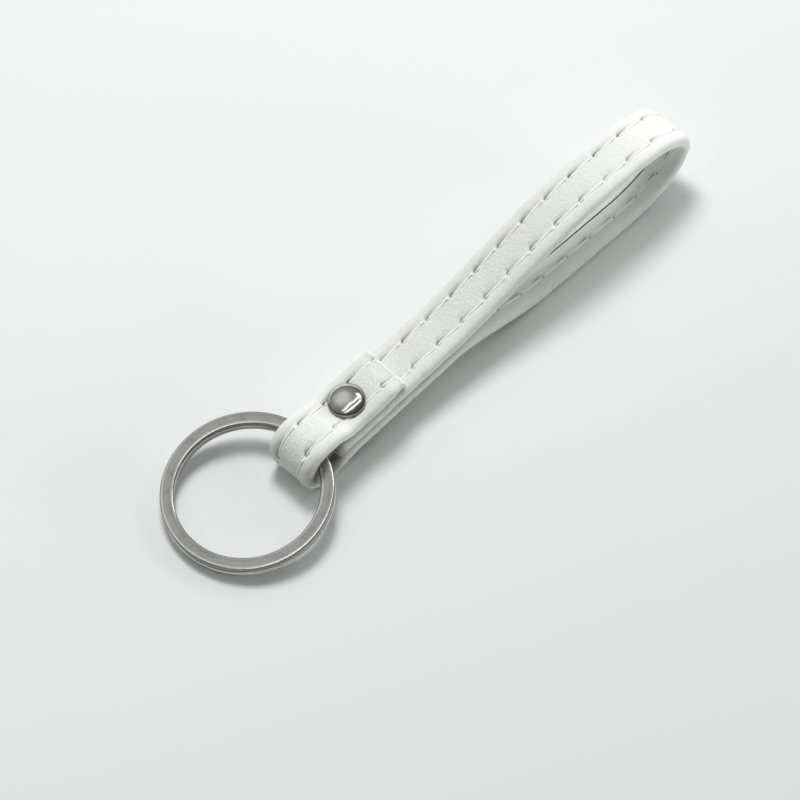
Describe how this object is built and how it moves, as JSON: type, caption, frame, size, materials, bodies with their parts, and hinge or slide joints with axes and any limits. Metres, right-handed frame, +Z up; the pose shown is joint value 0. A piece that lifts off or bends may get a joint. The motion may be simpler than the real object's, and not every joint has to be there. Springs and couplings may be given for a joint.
{
  "type": "loop strap keychain",
  "caption": "Stitched strap keychain: padded strip doubled into a finger loop, riveted round a flat-wire split ring that swings in the fold.",
  "frame": {"origin": "on the table under the middle of the keychain's bounding box", "axes": "+X along the strap from the ring to the far bend of the loop, +Y across the strap, +Z up off the table"},
  "size_m": [0.1184, 0.03, 0.017],
  "materials": {
    "strap_cover": "white grained coated fabric, satin",
    "strap_core": "flat fibre filler, unfinished",
    "rivet_caps": "mirror polished plating",
    "rivet_stem": "drawn steel, plated",
    "split_ring": "tumbled satin faces, bright rounded edges"
  },
  "bodies": {
    "strap": {"strap_cover": "strap_cover", "strap_core": "strap_core", "rivet_cap_shell": "rivet_caps", "rivet_rear_shell": "rivet_caps", "rivet_cap_socket": "rivet_stem", "rivet_rear_pin": "rivet_stem"},
    "ring": {"split_ring": "split_ring"}
  },
  "joints": [
    {"name": "ring_swing", "type": "hinge", "parent": "strap", "child": "ring", "pos_m": [-0.03147, -0.002, 0.00534], "axis": [0, 1, 0], "range_deg": [-160, 172]}
  ]
}
